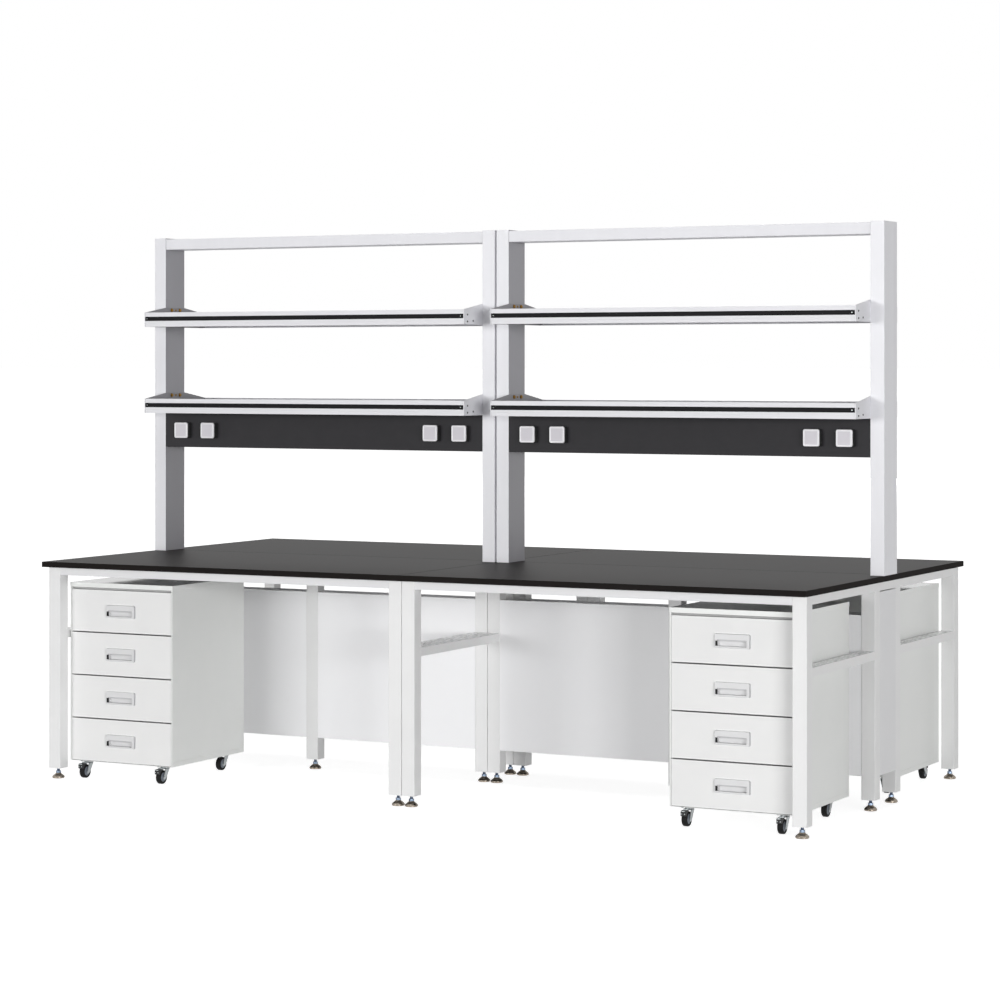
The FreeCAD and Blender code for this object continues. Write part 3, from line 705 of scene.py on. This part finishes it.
def make_strip_end_caps():
    """Round cap at each end of a strip: a sunk ring round a small bright button."""
    cap = start_round("cap", (0, (end_cap_front + end_cap_back) / 2, 0), end_cap_radius,
                      end_cap_back - end_cap_front, "Y", sides=32)
    bevel_edges(cap, lambda m, d: m.y < end_cap_front + near, width=0.6, segments=3)
    inset_faces(cap, lambda c, n: faces(n, "-Y", squarely),
                width=4.2, height=-end_cap_well)
    well = end_cap_front + end_cap_well
    inset_faces(cap, lambda c, n: faces(n, "-Y", squarely) and abs(c.y - well) < near,
                width=2.2, height=end_cap_button)
    smooth(cap)
    paint(cap, insert_vinyl)
    button = well - end_cap_button
    paint(cap, zinc_plate, lambda c, n: faces(n, "-Y", squarely)
          and abs(c.y - button) < near)
    places = []
    for z0 in shelf_bottoms:
        for x, step in zip(bracket_inner_faces, (rail_end_inset, -rail_end_inset)):
            for sx in (1, -1):
                places += [((sx * (x + step), -rail_face_y, z0 + groove_rise), False),
                           ((sx * (x + step), rail_face_y, z0 + groove_rise), True)]
    fit_piece(set_of("strip_end_caps", cap, places), "bench", "black_insert")


# ---------------------------------------- sockets
socket_offsets = (-611.0, -490.0, 490.0, 611.0)
socket_z = 1271.0
socket_half = 31.0
base_depth = 12.0
base_inset = 1.2
hinge_radius = 4.0
lid_gap = 0.3
lid_depth = 14.0
lid_white_depth = 6.0
lid_inset = 1.0
rim_wall = 2.5
rim_head = 9.0
rim_lap = 0.6
rim_floor = 1.0
well_inset = 7.0
well_depth = 3.0
# Middle and size of each pin hole along X and Z.
pin_holes = ((0, 9, 2.2, 7.0), (-9, -7, 5.0, 2.2), (9, -7, 5.0, 2.2))
pin_hole_depth = 9.0


def rounded_pad(name, half, y0, y1, corner, segments):
    """Square block facing -Y with rounded corners, centred on the origin."""
    pad = start_block(name, (-half, y0, -half), (half, y1, half))
    bevel_edges(pad, lambda m, d: runs(d, "Y"), width=corner, segments=segments)
    return pad


def make_socket_covers():
    half = socket_half
    back = -channel_face_y - base_depth - lid_gap
    front = back - lid_depth
    knee = front + lid_white_depth

    def middle(c, n):
        return faces(n, "-Y", squarely) and abs(c.x) < 5 and abs(c.z) < 5

    plate = rounded_pad("plate", half - lid_inset, front, knee,
                        corner=7.0, segments=6)
    bevel_edges(plate, lambda m, d: m.y < front + near, width=2.4, segments=4)
    inset_faces(plate, lambda c, n: faces(n, "-Y", squarely), width=3.0, height=0.0)
    inset_faces(plate, middle, width=1.2, height=-0.6)
    paint(plate, cover_plastic)
    paint(plate, lid_plastic, middle)
    rim = rounded_pad("rim", half - base_inset, knee - rim_lap, back,
                      corner=6.0, segments=5)
    hollow = start_block("hollow", (rim_wall - half, knee + rim_floor, rim_wall - half),
                         (half - rim_wall, back + past, half - rim_head))
    cut(rim, hollow)
    bevel_edges(rim, lambda m, d: runs(d, "X") and m.z > half - 3 and m.y > back - near,
                width=hinge_radius, segments=5)
    paint(rim, housing_plastic)
    lid = join("lid", [plate, rim])
    smooth(lid)
    for side, side_name in ((-1, "left"), (1, "right")):
        for facing, row in ((-1, "front"), (1, "rear")):
            node = "%s_%s_socket_covers" % (row, side_name)
            covers = join("%s_%s_flip_covers" % (row, side_name), [
                copy_of(lid, "lid_%d" % i, (side * module_centre + dx, 0, socket_z),
                        facing > 0)
                for i, dx in enumerate(socket_offsets)])
            fit_piece(covers, node, "socket_plastic", node)
    bpy.data.objects.remove(lid)


def make_socket_housings():
    half = socket_half
    back = -channel_face_y
    front = back - base_depth
    body = rounded_pad("body", half - base_inset, front, back, corner=6.0, segments=5)
    bevel_edges(body, lambda m, d: runs(d, "X") and m.z > half - 3
                and m.y < front + near, width=hinge_radius, segments=5)
    cut(body, rounded_pad("well", half - well_inset, front - past, front + well_depth,
                          corner=4.0, segments=4))
    holes = [start_block("pin", (x - dx / 2, front, z - dz / 2),
                         (x + dx / 2, front + pin_hole_depth, z + dz / 2))
             for x, z, dx, dz in pin_holes]
    cut(body, join("pins", holes))
    ease(body, 0.5)
    paint(body, housing_plastic)
    inside = half - well_inset + 0.1
    paint(body, cover_plastic, lambda c, n: front + 1.0 < c.y < front + 9.5
          and abs(c.x) < inside and abs(c.z) < inside)
    places = [((side * module_centre + dx, 0, socket_z), facing > 0)
              for side in (-1, 1) for facing in (-1, 1) for dx in socket_offsets]
    fit_piece(set_of("socket_housings", body, places), "bench", "socket_plastic",
              "socket_bases")


# ---------------------------------------- casters
# A caster is modelled with its swivel axis on Z and the wheel towards -Y.
caster_corners = {"front_left": (-169.0, 34.0), "front_right": (169.0, 34.0),
                  "rear_left": (-169.0, 430.0), "rear_right": (169.0, 430.0)}
wheel_radius = 25.0
wheel_half_width = 10.0
hub_depth = 1.6
caster_trail = 21.0

fork_foot = 16.0
fork_top = 56.2
fork_depth = 26.0
fork_foot_depth = 18.0
fork_half_width = 14.0
fork_wall = 2.5
arch_front, arch_back, arch_bottom = -70.0, 50.0, -20.0
axle_radius = 4.6
axle_overhang = 2.0

brake_arm = ((-9.0, -30.0, fork_top - 3.4), (9.0, -11.0, fork_top + 2.2))
pedal_tip = ((-7.5, -55.0, 52.4), (7.5, -45.0, 54.6))
shoe_half_width = 9.5
shoe_gap = 1.2
shoe_front = -51.0
shoe_back = -27.0
shoe_bottom = 37.0
shoe_top = fork_top - 1
rivet_x = 5.5
rivet_z = 44.0
rivet_radius = 1.9
rivet_front = -52.4
rivet_length = 1.6

carcass_floor = 64.0
plate_half = 23.4
plate_thickness = 2.8
cup_radius = 14.5
swivel_cup_z = (56.5, 61.3)
mount_bolt_offset = 17.0
mount_bolt_radius = 3.9
mount_bolt_z = (59.1, 61.3)


def wheel_template():
    end = wheel_half_width
    wheel = start_round("wheel", (0, -caster_trail, wheel_radius),
                        wheel_radius, 2 * end, "X", sides=48)
    paint(wheel, tread_rubber)
    bevel_edges(wheel, lambda m, d: not runs(d, "X", barely), width=4.5, segments=5)

    def face_at(depth):
        return lambda c, n: runs(n, "X", squarely) and abs(abs(c.x) - depth) < near

    def centre(c, n):
        return (runs(n, "X", squarely) and abs(c.y + caster_trail) < 1
                and abs(c.z - wheel_radius) < 1)

    inset_faces(wheel, face_at(end), width=3.2, height=0.0)
    inset_faces(wheel, centre, width=0.8, height=-hub_depth)
    paint(wheel, hub_nylon, face_at(end - hub_depth))
    for width, height in ((4.0, 0.3), (2.0, 1.3), (0.8, 0.3)):
        inset_faces(wheel, centre, width, height)
    smooth(wheel, 30)
    return wheel


def fork_template():
    top, half = fork_top, fork_half_width
    fork = start_block("fork", (-half, -fork_depth / 2, fork_foot),
                       (half, fork_depth / 2, top))
    pick_faces(fork, lambda c, n: faces(n, "-Z"))
    bpy.ops.transform.translate(value=(0, -caster_trail * MM, 0))
    bpy.ops.transform.resize(value=(1, fork_foot_depth / fork_depth, 1),
                             center_override=(0, -caster_trail * MM, fork_foot * MM))
    object_mode()
    bevel_edges(fork, lambda m, d: runs(d, "X") and m.z < fork_foot + near,
                width=8.4, segments=6)
    bevel_edges(fork, lambda m, d: runs(d, "Y") and m.z > top - near,
                width=3.0, segments=4)
    gap = half - fork_wall
    low, high = arch_bottom, top - fork_wall
    arch = start_block("arch", (-gap, arch_front, low), (gap, arch_back, high))
    bevel_edges(arch, lambda m, d: runs(d, "Y") and m.z > high - near,
                width=1.5, segments=3)
    cut(fork, arch)
    ease(fork, 0.4)
    paint(fork, zinc_plate)
    end = half + axle_overhang
    axle = start_round("axle", (0, -caster_trail, wheel_radius), axle_radius, 2 * end,
                       "X", sides=24)
    bevel_edges(axle, lambda m, d: abs(m.x) > end - near, width=1.6, segments=3)
    smooth(axle)
    paint(axle, zinc_plate)
    return join("fork", [fork, axle])


def brake_template():
    """Shoe that hugs the wheel, the arm that carries it and the pedal's bent tip."""
    arm = start_block("arm", *brake_arm)
    bevel_edges(arm, lambda m, d: runs(d, "X") and m.y < brake_arm[0][1] + near,
                width=2.2, segments=4)
    ease(arm, 0.5)
    paint(arm, zinc_plate)
    shoe = start_block("shoe", (-shoe_half_width, shoe_front, shoe_bottom),
                       (shoe_half_width, shoe_back, shoe_top))
    bevel_edges(shoe, lambda m, d: runs(d, "X") and m.z > shoe_top - near
                and m.y < shoe_front + near, width=6.0, segments=5)
    cut(shoe, start_round("tyre", (0, -caster_trail, wheel_radius),
                          wheel_radius + shoe_gap, 60, "X", sides=64))
    ease(shoe, 0.8)
    paint(shoe, black_nylon_and_pull_shade)
    tip = start_block("tip", *pedal_tip)
    bevel_edges(tip, lambda m, d: runs(d, "Z") and m.y < pedal_tip[0][1] + near,
                width=3.0, segments=4)
    ease(tip, 0.4)
    paint(tip, zinc_plate)
    rivets = []
    for x in (-rivet_x, rivet_x):
        rivet = start_round("rivet", (x, rivet_front + rivet_length / 2, rivet_z),
                            rivet_radius, rivet_length, "Y", sides=16)
        bevel_edges(rivet, lambda m, d: m.y < rivet_front + near, width=0.6, segments=3)
        rivets.append(rivet)
    rivets = join("rivets", rivets)
    smooth(rivets)
    paint(rivets, zinc_plate)
    return join("brake", [arm, shoe, tip, rivets])


def mount_template():
    """Swivel plate under the pedestal with its cup and four bolts."""
    half, top = plate_half, carcass_floor
    plate = start_block("plate", (-half, -half, top - plate_thickness),
                        (half, half, top))
    bevel_edges(plate, lambda m, d: runs(d, "Z"), width=5.0, segments=4)
    ease(plate, 0.4)
    low, high = swivel_cup_z
    cup = start_round("cup", (0, 0, (low + high) / 2), cup_radius, high - low, "Z",
                      sides=36)
    bevel_edges(cup, lambda m, d: m.z < low + near, width=1.6, segments=3)
    bolts = []
    low, high = mount_bolt_z
    for sx in (1, -1):
        for sy in (1, -1):
            bolt = start_round("bolt", (sx * mount_bolt_offset, sy * mount_bolt_offset,
                                        (low + high) / 2),
                               mount_bolt_radius, high - low, "Z", sides=16)
            bevel_edges(bolt, lambda m, d: m.z < low + near, width=0.8, segments=2)
            bolts.append(bolt)
    mount = join("mount", [plate, cup] + bolts)
    smooth(mount)
    paint(mount, zinc_plate)
    return mount


def make_casters():
    wheel, fork = wheel_template(), fork_template()
    brake, mount = brake_template(), mount_template()
    for pedestal, (centre_x, facing) in pedestals.items():
        for corner, (x, y) in caster_corners.items():
            half = facing > 0
            place = (centre_x - facing * x, facing * (front_plane_y - y), 0)
            stem = "%s_%s" % (pedestal, corner)
            fit_piece(copy_of(wheel, stem + "_tyre_and_hub", place, half),
                      stem + "_wheel", "caster_rubber", stem + "_wheel")
            fit_piece(copy_of(fork, stem + "_pressed_fork", place, half),
                      stem + "_fork", "zinc_steel", stem + "_fork")
            fit_piece(copy_of(mount, stem + "_swivel_plate", place, half),
                      pedestal, "zinc_steel")
            if corner.startswith("front"):
                fit_piece(copy_of(brake, stem + "_brake_pedal", place, half),
                          stem + "_fork", "zinc_steel")
    for template in (wheel, fork, brake, mount):
        bpy.data.objects.remove(template)


# ----------------------------- pulls and cap lips
pull_width = 127.0
pull_height = 49.0
pull_rise = 8.0
pull_taper = (0.975, 1, 0.94)
cup_half_length = 52.3
cup_bottom, cup_top = -17.4, 1.4
cup_floor = 8.5
cup_wall = 3.6
cup_groove_depth = 3.0
cup_grooves = (2.4, 3.8)
cup_end_step = 6.0
cup_end_depth = -2.2
cup_end_margin = 0.8
fine_line_rise = (0.9, 2.9)
fine_line_depth = 1.4

cap_lip_top = 719.0
cap_lip_bottom = 697.2
cap_lip_half_length = 219.0
cap_lip_depths = (8.0, 9.5, 15.0)


def pull_template():
    """Raised bezel with a finger cup; the cup's floor stands clear above and below."""
    front = -pull_rise
    plate = start_block("pull", (-pull_width / 2, front, -pull_height / 2),
                        (pull_width / 2, 0, pull_height / 2))
    pick_faces(plate, lambda c, n: faces(n, "-Y"))
    bpy.ops.transform.resize(value=pull_taper, center_override=(0, front * MM, 0))
    object_mode()
    bevel_edges(plate, lambda m, d: runs(d, "Y", loosely), width=5.5, segments=6)
    bevel_edges(plate, lambda m, d: m.y < front + 0.1, width=1.6, segments=4)
    half, low, high, wall = cup_half_length, cup_bottom, cup_top, cup_wall
    weld(plate, start_block("cup", (-half - wall, -1.0, low - wall),
                            (half + wall, cup_floor + wall, high + wall)))
    mouth = start_block("mouth", (-half, front - past, low), (half, cup_floor, high))
    bevel_edges(mouth, lambda m, d: runs(d, "Y"), width=1.2, segments=3)
    cut(plate, mouth)
    step = half + cup_end_step
    cut(plate, start_block("step", (-step, front - past, low + cup_end_margin),
                           (1.0 - half, cup_end_depth, high - cup_end_margin)))
    for z, tall in zip((low, high - cup_grooves[1]), cup_grooves):
        cut(plate, start_block("groove", (-half, cup_floor - 1, z),
                               (half, cup_floor + cup_groove_depth, z + tall)))
    line_low, line_high = (high + rise for rise in fine_line_rise)
    cut(plate, start_block("line", (-half, front - past, line_low),
                           (half, front + fine_line_depth, line_high)))
    ease(plate, 0.3)
    paint(plate, pull_abs)
    # Painted shade: both end faces of the bezel in a mid grey.
    paint(plate, pull_painted_shade, lambda c, n: runs(n, "X", partly)
          and abs(c.x) > pull_width / 2 - 4)
    # Painted shade: the fine groove over the cup in the same mid grey.
    paint(plate, pull_painted_shade, lambda c, n: line_low - 0.3 < c.z < line_high + 0.3
          and front + 0.1 < c.y < front + fine_line_depth + 0.2)
    # Painted shade: the step at the left end of the cup in black.
    paint(plate, black_nylon_and_pull_shade, lambda c, n: -step - 0.4 < c.x < 0.2 - half
          and low < c.z < high and front + 0.6 < c.y < cup_end_depth + 0.3)
    return plate


def make_pulls():
    pull = pull_template()
    for pedestal, (centre_x, facing) in pedestals.items():
        for level in range(drawer_count):
            drawer = "%s_drawer_%d" % (pedestal, drawer_count - level)
            z = drawer_zone_bottom + level * drawer_pitch + drawer_front_height / 2
            place = (centre_x, facing * front_plane_y, z)
            fit_piece(copy_of(pull, drawer + "_pull", place, facing > 0),
                      drawer, "drawer_steel")
    bpy.data.objects.remove(pull)


def make_cap_lips():
    """Angle strip that hangs inside the cap behind the slot over the drawers, painted
    grey as the shade in that slot.
    """
    outer, inner, toe = cap_lip_depths
    half = cap_lip_half_length
    lip = start_block("lip", (-half, outer, cap_lip_bottom), (half, inner, cap_lip_top))
    foot = cap_lip_bottom + inner - outer
    weld(lip, start_block("toe", (-half, outer, cap_lip_bottom), (half, toe, foot)))
    ease(lip, 0.4)
    paint(lip, slot_shade_grey)
    for pedestal, (centre_x, facing) in pedestals.items():
        place = (centre_x, facing * front_plane_y, 0)
        fit_piece(copy_of(lip, pedestal + "_cap_lip", place, facing > 0),
                  pedestal, "pedestal_steel")
    bpy.data.objects.remove(lip)


# -------------------------- finishes of CAD nodes
node_finish = {"front_row_worktops": worktop_phenolic,
               "rear_row_worktops": worktop_phenolic,
               # The long rails' greyer coat is painted shade.
               "legs": frame_powder, "long_rails": greyer_powder_and_rail_shade,
               # The back panels' lighter coat is painted light; the end panels keep the
               # greyer coat as their own.
               "back_panels": lightened_knee_panel_powder, "service_end_panels": greyer_powder_and_rail_shade,
               "rack_uprights": post_coat, "rack_header_rails": rack_coat,
               "shelf_decks": rail_anodised, "shelf_brackets": bracket_coat,
               "shelf_edge_rails": rail_anodised,
               "power_channels": channel_coat}
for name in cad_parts:
    if name.endswith("_carcass"):
        node_finish[name] = carcass_powder
    elif "_drawer_" in name:
        node_finish[name] = drawer_powder

for name, material in node_finish.items():
    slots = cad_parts[name].material_slots
    if not len(slots):
        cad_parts[name].data.materials.append(material)
    for slot in slots:
        slot.material = material

make_crossbars()
make_feet()
make_bracket_fasteners()
make_plate_screws()
make_edge_strips()
make_strip_end_caps()
make_socket_covers()
make_socket_housings()
make_casters()
make_pulls()
make_cap_lips()

# ----------------------------------------- studio
# Places and sizes from here on are in metres, the lamps' power in watts.
floor_size = 4000.0
# The floor glows a little less near the bench, so that its shadow stays.
glow_reach = (3.0, 9.0)
glow_strength = (0.84, 1.0)
floor_bounce = (0.92, 0.92, 0.92, 1)
floor_seen = (0.6, 0.6, 0.6, 1)
world_light = 0.14
world_seen = 1.0


def seen_in(tree):
    """One where a surface is seen by the camera, in a reflection or through glass."""
    path = add_node(tree, "ShaderNodeLightPath")
    seen = path.outputs["Is Camera Ray"]
    for ray in ("Is Glossy Ray", "Is Transmission Ray"):
        seen = add_node(tree, "ShaderNodeMath", {"operation": "MAXIMUM"},
                        links={0: seen, 1: path.outputs[ray]}).outputs[0]
    return seen


bpy.ops.object.select_all(action="DESELECT")
bpy.ops.mesh.primitive_plane_add(size=floor_size, location=(0, 0, 0))
floor = settle("studio_floor")
floor_paper, tree = new_material("white_studio_paper")
bounce = add_node(tree, "ShaderNodeBsdfDiffuse", values={"Color": floor_bounce})
lit = add_node(tree, "ShaderNodeBsdfDiffuse", values={"Color": floor_seen})
spot = add_node(tree, "ShaderNodeTexCoord").outputs["Object"]
distance = add_node(tree, "ShaderNodeVectorMath", {"operation": "LENGTH"},
                    links={0: spot}).outputs["Value"]
paleness = add_node(tree, "ShaderNodeMapRange",
                    values={"From Min": glow_reach[0], "From Max": glow_reach[1],
                            "To Min": glow_strength[0], "To Max": glow_strength[1]},
                    links={"Value": distance}).outputs["Result"]
glow = add_node(tree, "ShaderNodeEmission", links={"Strength": paleness})
shown = add_node(tree, "ShaderNodeAddShader",
                 links={0: lit.outputs[0], 1: glow.outputs[0]})
mixed = add_node(tree, "ShaderNodeMixShader",
                 links={0: seen_in(tree), 1: bounce.outputs[0], 2: shown.outputs[0]})
add_node(tree, "ShaderNodeOutputMaterial", links={"Surface": mixed.outputs[0]})
floor.data.materials.append(floor_paper)

world = bpy.data.worlds.new("studio")
bpy.context.scene.world = world
world.use_nodes = True
tree = world.node_tree
tree.nodes.clear()
level = add_node(tree, "ShaderNodeMapRange",
                 values={"To Min": world_light, "To Max": world_seen},
                 links={"Value": seen_in(tree)}).outputs["Result"]
sky = add_node(tree, "ShaderNodeBackground", values={"Color": (1, 1, 1, 1)},
               links={"Strength": level})
add_node(tree, "ShaderNodeOutputWorld", links={"Surface": sky.outputs[0]})


def lamp(name, place, size, power, mirrored=True):
    """Softbox that faces the bench, left out of reflections when asked."""
    data = bpy.data.lights.new(name, "AREA")
    data.shape = "RECTANGLE"
    data.size, data.size_y = size
    data.energy = power
    obj = bpy.data.objects.new(name, data)
    bpy.context.scene.collection.objects.link(obj)
    obj.location = place
    aim = Vector((0, 0, 1)) - Vector(place)
    obj.rotation_euler = aim.to_track_quat("-Z", "Y").to_euler()
    obj.visible_camera = False
    obj.visible_glossy = mirrored


lamp("front_softbox", (-8.0, -27.5, 2.6), (12, 5), 2680)
lamp("side_softbox", (20.0, -18.5, 2.6), (12, 5), 3500)
lamp("rear_softbox", (-3.0, 28.0, 2.6), (12, 5), 3600, mirrored=False)
lamp("left_softbox", (-28.0, 4.0, 2.6), (12, 5), 2600, mirrored=False)
lamp("high_softbox", (1.0, -2.0, 7.0), (5, 5), 70)

view = bpy.data.cameras.new("view")
view.sensor_fit = "HORIZONTAL"
view.sensor_width = 36.0
view.lens = 102.157
view.shift_y = -0.1327
view.clip_end = 3000
camera = bpy.data.objects.new("view", view)
bpy.context.scene.collection.objects.link(camera)
camera.location = (4.794, -9.303, 1.515)
camera.rotation_euler = (math.radians(90), 0, math.radians(27.337))
bpy.context.scene.camera = camera
bpy.context.scene.view_settings.view_transform = "Standard"
